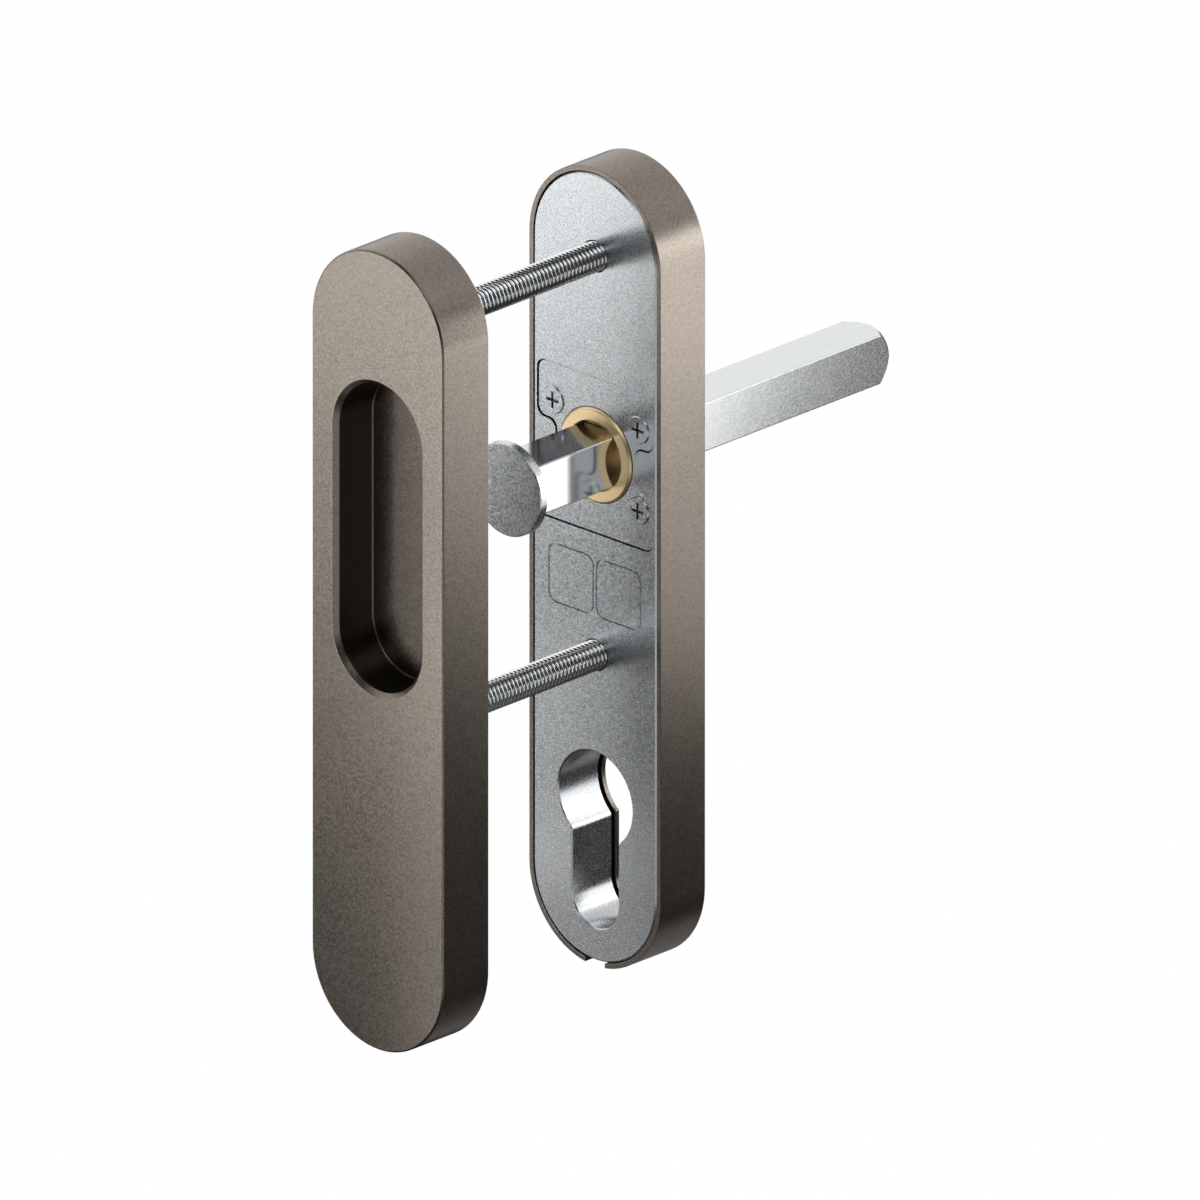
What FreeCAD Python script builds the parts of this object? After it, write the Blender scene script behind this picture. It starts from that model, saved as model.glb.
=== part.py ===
import FreeCAD, Part
import math
import os

Vector = FreeCAD.Vector

# A pair of long door plates for a lift-and-slide patio door, with the square spindle that works
# the door's lock. Lengths are in millimetres. X runs across the plates, Y from the outer plate to
# the inner one, and Z up. The origin is on the spindle's axis, on the inner plate's door face.

# Both plates. Their width follows from the bearing plate in the inner one.
PLATE_DEPTH = 12.2
PLATE_ABOVE_SCREW = 17.6
PLATE_BELOW_CYLINDER = 33.4
PLATE_EDGE_CHAMFER = 0.3
DOOR_THICKNESS = 46.15
SCREW_SPACING = 80.0
CYLINDER_DISTANCE = 69.0
RUNNING_CLEARANCE = 0.08
SEAT_CLEARANCE = 0.1

# Outer plate: a shell with a sunk grip, closed by a steel carrier plate
OUTER_WALL = 1.6
OUTER_FACE = 2.0
GRIP_SIDE_MARGIN = 5.35
GRIP_TO_SCREW = 8.35
GRIP_RIM_CHAMFER = 0.95
GRIP_FLOOR_CHAMFER = 0.3
GRIP_WALL = 1.2
GRIP_FLOOR = 1.35
GRIP_BACK_SPACE = 1.0
CARRIER_THICKNESS = 2.5
CARRIER_GAP = 0.15
CARRIER_BOSS_RADIUS = 3.2
CARRIER_SCREW_LENGTH = 7.0

# Threaded posts, pressed into the carrier plate
POST_RADIUS = 5.0
POST_FLANGE_RADIUS = 6.0
POST_FLANGE_THICKNESS = 1.6
POST_REACH = 8.0

# Fixing screws that clamp the two plates through the door
SCREW_RADIUS = 2.95
SCREW_HEAD_RADIUS = 5.0
SCREW_HEAD_HEIGHT = 4.0
SCREW_SOCKET_WIDTH = 4.0
SCREW_SOCKET_DEPTH = 2.2
SCREW_SEAT_DEPTH = 4.6
SCREW_REACH = 4.25
SCREW_TIP_CHAMFER = 0.6
SCREW_HOLE_RADIUS = 3.2
THREAD_CLEARANCE = 0.05
COUNTERBORE_CLEARANCE = 0.5

# Small countersunk and cylinder-head screws
SMALL_SCREW_RADIUS = 1.45
SMALL_HEAD_RADIUS = 2.75
RECESS_SPAN = 2.7
RECESS_BLADE = 0.6
RECESS_DEPTH = 0.8

# Inner cover, a thin shell that snaps over the base plate
COVER_WALL = 1.0
COVER_FACE = 1.0
COVER_GAP = 0.2
COVER_FACE_GAP = 0.6
PRY_NOTCH_WIDTH = 5.0
PRY_NOTCH_DEPTH = 5.0

# Inner base plate, a die casting cored out on its room side
BASE_EDGE_CHAMFER = 0.3
BASE_FLOOR = 3.0
BASE_RIM = 2.0
BASE_BOSS_WALL = 2.4
HOUSING_MARGIN = 2.0

# Key cylinder cut-out, keyhole-shaped
CUTOUT_RADIUS = 9.5
CUTOUT_SLOT = 11.9
CUTOUT_BELOW = 25.7
CUTOUT_CHAMFER = 0.3
CUTOUT_COVER_STEP = 0.5
CUTOUT_SHOULDER_ROUND = 1.5

# Bearing plate that holds the rotor in the base plate
BEARING_EDGE_LAND = 0.95
BEARING_HEIGHT = 31.0
BEARING_THICKNESS = 1.6
BEARING_RECESS = 0.3
BEARING_GAP = 0.2
BEARING_CORNER = 2.0
BEARING_SCREW_SPACE = 1.6
BEARING_SCREW_INSET = 3.85
BEARING_SCREW_Z = 8.1
BEARING_SHOULDER_SPACE = 3.7
BEARING_SCREW_LENGTH = 7.5

# Rotor, the brass bearing that the spindle slides through
ROTOR_RING_WIDTH = 2.4
ROTOR_RING_CHAMFER = 0.45
ROTOR_PROUD = 0.25
ROTOR_FLANGE_STEP = 0.6
ROTOR_FLANGE_THICKNESS = 2.2
ROTOR_SLEEVE_STEP = 0.5
ROTOR_MOUTH_CLEARANCE = 0.14
ROTOR_MOUTH_DEPTH = 2.2
ROTOR_SETBACK = 0.3
ROTOR_END_PLAY = 0.05
SLIDE_RING_THICKNESS = 0.5

# Guide bush for the lever's neck, seated in the inner cover
BUSH_RUNNING_GAP = 0.3
BUSH_WALL = 1.5
BUSH_FLANGE_WIDTH = 1.6
BUSH_FLANGE_THICKNESS = 0.5
BUSH_PROUD = 0.4

# Springs that grip the inner cover
SPRING_WIDTH = 7.0
SPRING_STRIP = 0.5
SPRING_LEG = 6.6
SPRING_BULGE = 0.6
SPRING_GROOVE_DEPTH = 0.3
SPRING_GROOVE_WIDTH = 1.8

# Square spindle with its stop disc
SPINDLE_WIDTH = 10.0
SPINDLE_CHAMFER = 0.3
SPINDLE_BEYOND_COVER = 62.0
SPINDLE_CLEARANCE = 0.1
SPINDLE_TIP_LENGTH = 2.7
SPINDLE_TIP_RADIUS = 4.5
DISC_RADIUS = 9.15
DISC_THICKNESS = 2.0
DISC_DISTANCE = 22.0
DISC_EDGE_CHAMFER = 0.2

# Sizes across the plates, from the spindle outwards
spindle_corner = math.hypot(SPINDLE_WIDTH / 2, SPINDLE_WIDTH / 2 - SPINDLE_CHAMFER)
mouth_radius = spindle_corner + ROTOR_MOUTH_CLEARANCE
ring_radius = mouth_radius + ROTOR_RING_WIDTH
flange_radius = ring_radius + ROTOR_FLANGE_STEP
sleeve_radius = ring_radius - ROTOR_SLEEVE_STEP
flange_bore = flange_radius + SEAT_CLEARANCE
bearing_screw_x = ring_radius + BEARING_SCREW_SPACE
bearing_half = bearing_screw_x + BEARING_SCREW_INSET
bearing_shoulder = BEARING_SCREW_Z - BEARING_SHOULDER_SPACE
base_half = bearing_half + BEARING_EDGE_LAND
base_inset = COVER_WALL + COVER_GAP
half_width = base_half + base_inset

# Places along the plates
upper_screw_z = SCREW_SPACING / 2
lower_screw_z = -SCREW_SPACING / 2
cylinder_z = -CYLINDER_DISTANCE
plate_top = upper_screw_z + PLATE_ABOVE_SCREW
plate_bottom = cylinder_z - PLATE_BELOW_CYLINDER
grip_half = half_width - GRIP_SIDE_MARGIN
grip_top = upper_screw_z - GRIP_TO_SCREW
housing_top = BEARING_HEIGHT / 2 + HOUSING_MARGIN
screw_boss_radius = SCREW_HEAD_RADIUS + COUNTERBORE_CLEARANCE + BASE_BOSS_WALL
upper_spring_z = (housing_top + upper_screw_z - screw_boss_radius) / 2
lower_spring_z = -upper_spring_z

# Places through the door
outer_back = -DOOR_THICKNESS
outer_front = outer_back - PLATE_DEPTH
carrier_front = outer_back - CARRIER_THICKNESS
base_back = PLATE_DEPTH - COVER_FACE - COVER_FACE_GAP
cover_inside = PLATE_DEPTH - COVER_FACE
pocket_floor = BEARING_RECESS + BEARING_THICKNESS
flange_front = pocket_floor + ROTOR_END_PLAY
flange_back = flange_front + ROTOR_FLANGE_THICKNESS
ring_front = flange_back + ROTOR_END_PLAY
ring_back = ring_front + SLIDE_RING_THICKNESS
spring_seat = base_back - SPRING_STRIP - SEAT_CLEARANCE
spring_reach = half_width - COVER_WALL + SPRING_GROOVE_DEPTH / 2
spring_leg_x = spring_reach - SPRING_BULGE
spring_toe = spring_seat - SPRING_LEG
spring_bulge_y = spring_toe + SPRING_LEG / 4
lever_bush_bore = sleeve_radius + BUSH_RUNNING_GAP
lever_bush_radius = lever_bush_bore + BUSH_WALL
disc_back = -DISC_DISTANCE
spindle_end = PLATE_DEPTH + SPINDLE_BEYOND_COVER
BEYOND = 1.0
TOLERANCE = 1e-6


# Basic forms

def line(a, b):
    return Part.LineSegment(a, b).toShape()


def arc(a, middle, b):
    return Part.Arc(a, middle, b).toShape()


def prism(wire, depth):
    """Solid between a closed outline and its copy, depth further along Y."""
    return Part.Face(wire).extrude(Vector(0, depth, 0))


def stadium(half, top, bottom, y_from, y_to):
    """Prism with two straight sides and two half-round ends."""
    upper = top - half
    lower = bottom + half
    right_low = Vector(half, y_from, lower)
    right_high = Vector(half, y_from, upper)
    left_high = Vector(-half, y_from, upper)
    left_low = Vector(-half, y_from, lower)
    wire = Part.Wire([
        line(right_low, right_high),
        arc(right_high, Vector(0, y_from, top), left_high),
        line(left_high, left_low),
        arc(left_low, Vector(0, y_from, bottom), right_low),
    ])
    return prism(wire, y_to - y_from)


def plate_form(inset, y_from, y_to):
    """Prism of the plates' common outline, drawn in by an even inset."""
    return stadium(half_width - inset, plate_top - inset, plate_bottom + inset, y_from, y_to)


def round_bar(radius, y_from, y_to, x=0.0, z=0.0):
    return Part.makeCylinder(radius, y_to - y_from, Vector(x, y_from, z), Vector(0, 1, 0))


def block(x_from, x_to, y_from, y_to, z_from, z_to):
    size = Vector(x_to - x_from, y_to - y_from, z_to - z_from)
    return Part.makeBox(size.x, size.y, size.z, Vector(x_from, y_from, z_from))


def turned(profile, x=0.0, z=0.0):
    """Solid turned about an axis along Y from (radius, y) points."""
    points = [Vector(radius, y, 0) for radius, y in profile]
    face = Part.Face(Part.makePolygon(points + points[:1]))
    solid = face.revolve(Vector(0, 0, 0), Vector(0, 1, 0), 360)
    solid.translate(Vector(x, 0, z))
    return solid


def rounded_outline(corners, y):
    """Closed wire through (x, z, radius) corners, each one rounded by a tangent arc."""
    count = len(corners)
    stretches = []
    for index in range(count):
        before = corners[index - 1]
        here = corners[index]
        after = corners[(index + 1) % count]
        point = Vector(here[0], y, here[1])
        back = (Vector(before[0], y, before[1]) - point).normalize()
        ahead = (Vector(after[0], y, after[1]) - point).normalize()
        half_angle = back.getAngle(ahead) / 2
        reach = here[2] / math.tan(half_angle)
        to_centre = (back + ahead).normalize()
        middle = point + to_centre * (here[2] / math.sin(half_angle) - here[2])
        stretches.append((point + back * reach, middle, point + ahead * reach))
    edges = []
    for index in range(count):
        start, middle, end = stretches[index]
        following = stretches[(index + 1) % count][0]
        edges.append(arc(start, middle, end))
        edges.append(line(end, following))
    return Part.Wire(edges)


def edges_at(shape, y):
    """Edges that lie in the plane at y."""
    return [edge for edge in shape.Edges if abs(edge.BoundBox.YMin - y) < TOLERANCE
            and abs(edge.BoundBox.YMax - y) < TOLERANCE]


def fused(shapes):
    solid = shapes[0].multiFuse(shapes[1:])
    return solid.removeSplitter()


def cross_recess(x, z, y_from, direction):
    """Cutter for a cross slot in a screw head that faces along direction (1 or -1) in Y."""
    low = min(y_from + direction, y_from - direction * RECESS_DEPTH)
    high = max(y_from + direction, y_from - direction * RECESS_DEPTH)
    reach = RECESS_SPAN / 2
    blade = RECESS_BLADE / 2
    upright = block(x - blade, x + blade, low, high, z - reach, z + reach)
    level = block(x - reach, x + reach, low, high, z - blade, z + blade)
    return upright.fuse(level)


# Outer plate

def grip_pocket():
    """Cutter for the sunk grip: a flared rim, straight walls and an eased floor edge."""
    rim_end = outer_front + GRIP_RIM_CHAMFER
    rim = stadium(grip_half, grip_top, -grip_top, outer_front - BEYOND, rim_end)
    rim = rim.makeChamfer(GRIP_RIM_CHAMFER, edges_at(rim, rim_end))
    inner = grip_half - GRIP_RIM_CHAMFER
    inner_top = grip_top - GRIP_RIM_CHAMFER
    floor = outer_back - GRIP_BACK_SPACE - GRIP_FLOOR
    well = stadium(inner, inner_top, -inner_top, outer_front, floor)
    well = well.makeChamfer(GRIP_FLOOR_CHAMFER, edges_at(well, floor))
    return rim.fuse(well)


def grip_tub(extra, y_from, y_to):
    """Outside of the grip's walls, grown by extra."""
    grow = GRIP_WALL - GRIP_RIM_CHAMFER + extra
    top = grip_top + grow
    return stadium(grip_half + grow, top, -top, y_from, y_to)


def carrier_screw_heights():
    """One screw between the upper post and the plate's end, and one as far from the plate's foot."""
    end_space = PLATE_ABOVE_SCREW - OUTER_WALL - POST_FLANGE_RADIUS
    inset = OUTER_WALL + end_space / 2
    return [plate_top - inset, plate_bottom + inset]


def make_outer_cover():
    body = plate_form(0, outer_front, outer_back)
    body = body.makeChamfer(PLATE_EDGE_CHAMFER, edges_at(body, outer_front))
    hollow = plate_form(OUTER_WALL, outer_front + OUTER_FACE, outer_back + BEYOND)
    kept = [grip_tub(0, outer_front, outer_back - GRIP_BACK_SPACE)]
    pilots = []
    for z in carrier_screw_heights():
        kept.append(round_bar(CARRIER_BOSS_RADIUS, outer_front, carrier_front, z=z))
        pilot_end = outer_back - CARRIER_SCREW_LENGTH - SEAT_CLEARANCE
        pilots.append(round_bar(SMALL_SCREW_RADIUS + THREAD_CLEARANCE, pilot_end, outer_back, z=z))
    for solid in kept:
        hollow = hollow.cut(solid)
    body = body.cut(hollow).cut(grip_pocket())
    for pilot in pilots:
        body = body.cut(pilot)
    return body


def countersink_depth():
    return SMALL_HEAD_RADIUS - SMALL_SCREW_RADIUS


def make_outer_carrier_plate():
    plate = plate_form(OUTER_WALL + CARRIER_GAP, carrier_front, outer_back)
    plate = plate.cut(grip_tub(CARRIER_GAP, carrier_front - BEYOND, outer_back + BEYOND))
    for z in (upper_screw_z, lower_screw_z):
        plate = plate.cut(round_bar(POST_RADIUS, carrier_front - BEYOND, outer_back + BEYOND, z=z))
    hole = SMALL_SCREW_RADIUS + SEAT_CLEARANCE
    rim = SMALL_HEAD_RADIUS + SEAT_CLEARANCE
    depth = countersink_depth()
    for z in carrier_screw_heights():
        plate = plate.cut(turned([
            (0, carrier_front - BEYOND),
            (hole, carrier_front - BEYOND),
            (hole, outer_back - depth),
            (rim + BEYOND, outer_back + BEYOND),
            (0, outer_back + BEYOND),
        ], z=z))
    return plate


def make_carrier_screws():
    depth = countersink_depth()
    screws = []
    for z in carrier_screw_heights():
        screw = turned([
            (0, outer_back),
            (SMALL_HEAD_RADIUS, outer_back),
            (SMALL_SCREW_RADIUS, outer_back - depth),
            (SMALL_SCREW_RADIUS, outer_back - CARRIER_SCREW_LENGTH),
            (0, outer_back - CARRIER_SCREW_LENGTH),
        ], z=z)
        screws.append(screw.cut(cross_recess(0, z, outer_back, 1)))
    return Part.makeCompound(screws)


def make_threaded_post(z):
    """Flanged post that stands out of the carrier into the door and takes a fixing screw."""
    bore = SCREW_RADIUS + THREAD_CLEARANCE
    flange_end = carrier_front - POST_FLANGE_THICKNESS
    tip = outer_back + POST_REACH
    return turned([
        (bore, flange_end),
        (POST_FLANGE_RADIUS, flange_end),
        (POST_FLANGE_RADIUS, carrier_front),
        (POST_RADIUS, carrier_front),
        (POST_RADIUS, tip),
        (bore, tip),
    ], z=z)


def make_fixing_screw(z):
    """Long machine screw: its head sits in the base plate, its tip in a threaded post."""
    tip = outer_back - SCREW_REACH
    head_end = SCREW_SEAT_DEPTH + SCREW_HEAD_HEIGHT
    head_chamfer = SCREW_TIP_CHAMFER / 2
    screw = turned([
        (0, tip),
        (SCREW_RADIUS - SCREW_TIP_CHAMFER, tip),
        (SCREW_RADIUS, tip + SCREW_TIP_CHAMFER),
        (SCREW_RADIUS, SCREW_SEAT_DEPTH),
        (SCREW_HEAD_RADIUS, SCREW_SEAT_DEPTH),
        (SCREW_HEAD_RADIUS, head_end - head_chamfer),
        (SCREW_HEAD_RADIUS - head_chamfer, head_end),
        (0, head_end),
    ], z=z)
    corner = SCREW_SOCKET_WIDTH / math.sqrt(3)
    points = []
    for step in range(7):
        angle = math.radians(60 * step)
        points.append(Vector(corner * math.cos(angle), head_end - SCREW_SOCKET_DEPTH, z + corner * math.sin(angle)))
    socket = prism(Part.makePolygon(points), SCREW_SOCKET_DEPTH + BEYOND)
    return screw.cut(socket)


# Key cylinder cut-out

def keyhole(shrink, y_from, y_to):
    """Prism of the key cylinder's keyhole outline, drawn in by shrink."""
    radius = CUTOUT_RADIUS - shrink
    slot = CUTOUT_SLOT / 2 - shrink
    foot = cylinder_z - CUTOUT_BELOW + shrink + slot
    barrel = round_bar(radius, y_from, y_to, z=cylinder_z)
    web = block(-slot, slot, y_from, y_to, foot, cylinder_z)
    toe = round_bar(slot, y_from, y_to, z=foot)
    return fused([barrel, web, toe])


def cast_keyhole(y_from, y_to):
    """The keyhole as it is cast, with rounded shoulders between barrel and slot."""
    form = keyhole(0, y_from, y_to)
    slot = CUTOUT_SLOT / 2
    shoulder = cylinder_z - math.sqrt(CUTOUT_RADIUS ** 2 - slot ** 2)
    corners = [edge for edge in form.Edges if abs(edge.BoundBox.ZMin - shoulder) < TOLERANCE
               and abs(edge.BoundBox.ZMax - shoulder) < TOLERANCE]
    return form.makeFillet(CUTOUT_SHOULDER_ROUND, corners)


# Inner plate

def bearing_outline(grow, y):
    """Outline of the bearing plate: a rounded oblong with a waist that clears the casting's lands."""
    side = bearing_half + grow
    top = BEARING_HEIGHT / 2 + grow
    waist = flange_bore + grow
    shoulder = bearing_shoulder - grow
    r = BEARING_CORNER
    right = [(side, -top, r), (side, -shoulder, r), (waist, -shoulder, r),
             (waist, shoulder, r), (side, shoulder, r), (side, top, r)]
    left = [(-x, z, radius) for x, z, radius in reversed(right)]
    return rounded_outline(right + left, y)


def bearing_screw_places():
    return [(side * bearing_screw_x, level * BEARING_SCREW_Z) for side in (-1, 1) for level in (-1, 1)]


def make_bearing_plate():
    plate = prism(bearing_outline(0, BEARING_RECESS), BEARING_THICKNESS)
    front = BEARING_RECESS - BEYOND
    plate = plate.cut(round_bar(ring_radius + RUNNING_CLEARANCE, front, pocket_floor + BEYOND))
    hole = SMALL_SCREW_RADIUS + SEAT_CLEARANCE
    for x, z in bearing_screw_places():
        plate = plate.cut(round_bar(hole, front, pocket_floor + BEYOND, x, z))
    return plate


def make_bearing_plate_screws():
    screws = []
    for x, z in bearing_screw_places():
        tip = BEARING_RECESS + BEARING_SCREW_LENGTH
        screw = turned([
            (0, 0),
            (SMALL_HEAD_RADIUS, 0),
            (SMALL_HEAD_RADIUS, BEARING_RECESS),
            (SMALL_SCREW_RADIUS, BEARING_RECESS),
            (SMALL_SCREW_RADIUS, tip),
            (0, tip),
        ], x, z)
        screws.append(screw.cut(cross_recess(x, z, 0, -1)))
    return Part.makeCompound(screws)


def base_bosses():
    """Solid stretches left standing in the cored-out back of the base plate."""
    solids = []
    for z in (upper_screw_z, lower_screw_z):
        solids.append(round_bar(screw_boss_radius, 0, base_back, z=z))
    solids.append(block(-base_half, base_half, 0, base_back, -housing_top, housing_top))
    solids.append(keyhole(-BASE_BOSS_WALL, 0, base_back))
    bar = SPRING_WIDTH / 2 + HOUSING_MARGIN
    for z in (upper_spring_z, lower_spring_z):
        solids.append(block(-base_half, base_half, 0, base_back, z - bar, z + bar))
    return solids


def spring_seat_cut(z):
    """Cutter for a spring's channel across the base plate and for its two side notches."""
    reach = SPRING_WIDTH / 2 + SEAT_CLEARANCE
    side = spring_leg_x - SPRING_STRIP - SEAT_CLEARANCE
    toe = spring_toe - SEAT_CLEARANCE
    far = base_back + BEYOND
    channel = block(-half_width, half_width, spring_seat, far, z - reach, z + reach)
    right = block(side, half_width, toe, far, z - reach, z + reach)
    left = block(-half_width, -side, toe, far, z - reach, z + reach)
    return fused([channel, right, left])


def make_inner_base_plate():
    plate = plate_form(base_inset, 0, base_back)
    plate = plate.makeChamfer(BASE_EDGE_CHAMFER, edges_at(plate, 0))
    core = plate_form(base_inset + BASE_RIM, BASE_FLOOR, base_back + BEYOND)
    for solid in base_bosses():
        core = core.cut(solid)
    plate = plate.cut(core)
    through = (-BEYOND, base_back + BEYOND)
    plate = plate.cut(cast_keyhole(*through))
    rim = [edge for edge in edges_at(plate, 0) if is_cutout_edge(edge)]
    plate = plate.makeChamfer(CUTOUT_CHAMFER, rim)
    plate = plate.cut(prism(bearing_outline(BEARING_GAP, -BEYOND), BEYOND + pocket_floor))
    plate = plate.cut(round_bar(flange_bore, 0, ring_back))
    plate = plate.cut(round_bar(sleeve_radius + RUNNING_CLEARANCE, *through))
    for z in (upper_screw_z, lower_screw_z):
        head = SCREW_HEAD_RADIUS + COUNTERBORE_CLEARANCE
        plate = plate.cut(round_bar(SCREW_HOLE_RADIUS, *through, z=z))
        plate = plate.cut(round_bar(head, SCREW_SEAT_DEPTH, base_back + BEYOND, z=z))
    for x, z in bearing_screw_places():
        end = BEARING_RECESS + BEARING_SCREW_LENGTH + SEAT_CLEARANCE
        plate = plate.cut(round_bar(SMALL_SCREW_RADIUS + THREAD_CLEARANCE, 0, end, x, z))
    for z in (upper_spring_z, lower_spring_z):
        plate = plate.cut(spring_seat_cut(z))
    return plate


def is_cutout_edge(edge):
    """True for an edge of the key cylinder's cut-out and not of the plate's own outline."""
    box = edge.BoundBox
    inside = max(abs(box.XMin), abs(box.XMax)) < CUTOUT_RADIUS + TOLERANCE
    low = cylinder_z - CUTOUT_BELOW - TOLERANCE
    high = cylinder_z + CUTOUT_RADIUS + TOLERANCE
    return inside and box.ZMin > low and box.ZMax < high


def make_inner_cover():
    body = plate_form(0, 0, PLATE_DEPTH)
    body = body.makeChamfer(PLATE_EDGE_CHAMFER, edges_at(body, PLATE_DEPTH))
    hollow = plate_form(COVER_WALL, -BEYOND, cover_inside)
    body = body.cut(hollow)
    far = PLATE_DEPTH + BEYOND
    body = body.cut(keyhole(CUTOUT_COVER_STEP, cover_inside - BEYOND, far))
    body = body.cut(round_bar(lever_bush_radius + SEAT_CLEARANCE, cover_inside - BEYOND, far))
    notch = PRY_NOTCH_WIDTH / 2
    edge = plate_bottom + COVER_WALL + COVER_GAP
    body = body.cut(block(-notch, notch, -BEYOND, PRY_NOTCH_DEPTH, plate_bottom - BEYOND, edge))
    reach = SPRING_WIDTH / 2 + HOUSING_MARGIN / 2
    inside = half_width - COVER_WALL
    groove = SPRING_GROOVE_WIDTH / 2
    for z in (upper_spring_z, lower_spring_z):
        body = body.cut(block(
            -inside - SPRING_GROOVE_DEPTH, inside + SPRING_GROOVE_DEPTH,
            spring_bulge_y - groove, spring_bulge_y + groove, z - reach, z + reach))
    return body


def make_spindle_rotor():
    """Flanged brass sleeve: round at its mouth, square where it guides the spindle."""
    front = -ROTOR_PROUD
    back = PLATE_DEPTH - ROTOR_SETBACK
    mouth_end = front + ROTOR_MOUTH_DEPTH
    body = turned([
        (0, front),
        (ring_radius - ROTOR_RING_CHAMFER, front),
        (ring_radius, front + ROTOR_RING_CHAMFER),
        (ring_radius, flange_front),
        (flange_radius, flange_front),
        (flange_radius, flange_back),
        (sleeve_radius, flange_back),
        (sleeve_radius, back),
        (0, back),
    ])
    body = body.cut(round_bar(mouth_radius, front - BEYOND, mouth_end))
    half = SPINDLE_WIDTH / 2 + SPINDLE_CLEARANCE
    return body.cut(block(-half, half, front, back + BEYOND, -half, half))


def make_rotor_slide_ring():
    """Flat ring that the rotor's flange turns on."""
    inner = sleeve_radius + RUNNING_CLEARANCE
    outer = round_bar(flange_radius, ring_front, ring_back)
    return outer.cut(round_bar(inner, ring_front - BEYOND, ring_back + BEYOND))


def make_lever_guide_bush():
    """Collar in the cover's hole, held from behind by its own flange."""
    flange = lever_bush_radius + BUSH_FLANGE_WIDTH
    face = PLATE_DEPTH + BUSH_PROUD
    return turned([
        (lever_bush_bore, cover_inside - BUSH_FLANGE_THICKNESS),
        (flange, cover_inside - BUSH_FLANGE_THICKNESS),
        (flange, cover_inside),
        (lever_bush_radius, cover_inside),
        (lever_bush_radius, face),
        (lever_bush_bore, face),
    ])


def make_cover_spring(z):
    """Strip bent over the base plate, with a bulge on each leg that snaps into the cover."""
    path = [
        (spring_leg_x, spring_toe),
        (spring_leg_x, spring_bulge_y - SPRING_BULGE),
        (spring_reach, spring_bulge_y),
        (spring_leg_x, spring_bulge_y + SPRING_BULGE),
        (spring_leg_x, spring_seat + SPRING_STRIP),
    ]
    inner = [(x - SPRING_STRIP, y) for x, y in path[:-1]]
    inner.append((spring_leg_x - SPRING_STRIP, spring_seat))
    right = path + [(-x, y) for x, y in reversed(path)]
    back = [(-x, y) for x, y in inner] + list(reversed(inner))
    low = z - SPRING_WIDTH / 2
    points = [Vector(x, y, low) for x, y in right + back]
    face = Part.Face(Part.makePolygon(points + points[:1]))
    return face.extrude(Vector(0, 0, SPRING_WIDTH))


# Spindle

def make_square_spindle():
    """Square bar with eased edges, a stop disc at one end and a turned tip at the other."""
    half = SPINDLE_WIDTH / 2
    bar = block(-half, half, disc_back, spindle_end, -half, half)
    long_edges = [edge for edge in bar.Edges if edge.BoundBox.YLength > SPINDLE_WIDTH * 2]
    bar = bar.makeChamfer(SPINDLE_CHAMFER, long_edges)
    tip_start = spindle_end - SPINDLE_TIP_LENGTH
    slope = (spindle_corner - SPINDLE_TIP_RADIUS) / SPINDLE_TIP_LENGTH
    envelope = turned([
        (0, disc_back - BEYOND),
        (spindle_corner + slope, disc_back - BEYOND),
        (spindle_corner + slope, tip_start - BEYOND),
        (SPINDLE_TIP_RADIUS, spindle_end),
        (0, spindle_end),
    ])
    disc = turned([
        (0, disc_back - DISC_THICKNESS),
        (DISC_RADIUS - DISC_EDGE_CHAMFER, disc_back - DISC_THICKNESS),
        (DISC_RADIUS, disc_back - DISC_THICKNESS + DISC_EDGE_CHAMFER),
        (DISC_RADIUS, disc_back - DISC_EDGE_CHAMFER),
        (DISC_RADIUS - DISC_EDGE_CHAMFER, disc_back),
        (0, disc_back),
    ])
    return fused([bar.common(envelope), disc])


def all_parts():
    return {
        "outer_cover": make_outer_cover(),
        "outer_carrier_plate": make_outer_carrier_plate(),
        "carrier_screws": make_carrier_screws(),
        "upper_threaded_post": make_threaded_post(upper_screw_z),
        "lower_threaded_post": make_threaded_post(lower_screw_z),
        "upper_fixing_screw": make_fixing_screw(upper_screw_z),
        "lower_fixing_screw": make_fixing_screw(lower_screw_z),
        "inner_cover": make_inner_cover(),
        "inner_base_plate": make_inner_base_plate(),
        "bearing_plate": make_bearing_plate(),
        "bearing_plate_screws": make_bearing_plate_screws(),
        "spindle_rotor": make_spindle_rotor(),
        "rotor_slide_ring": make_rotor_slide_ring(),
        "lever_guide_bush": make_lever_guide_bush(),
        "upper_cover_spring": make_cover_spring(upper_spring_z),
        "lower_cover_spring": make_cover_spring(lower_spring_z),
        "square_spindle": make_square_spindle(),
    }


def main():
    os.makedirs("parts", exist_ok=True)
    for name, shape in all_parts().items():
        if not shape.isValid():
            raise ValueError(name + " is not a valid solid")
        shape.exportStep("parts/" + name + ".step")
        box = shape.BoundBox
        print(name, len(shape.Solids), "solid(s)", round(shape.Volume, 1), "mm3",
              [round(v, 2) for v in (box.XMin, box.XMax, box.YMin, box.YMax, box.ZMin, box.ZMax)])


main()
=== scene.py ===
import math

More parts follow.
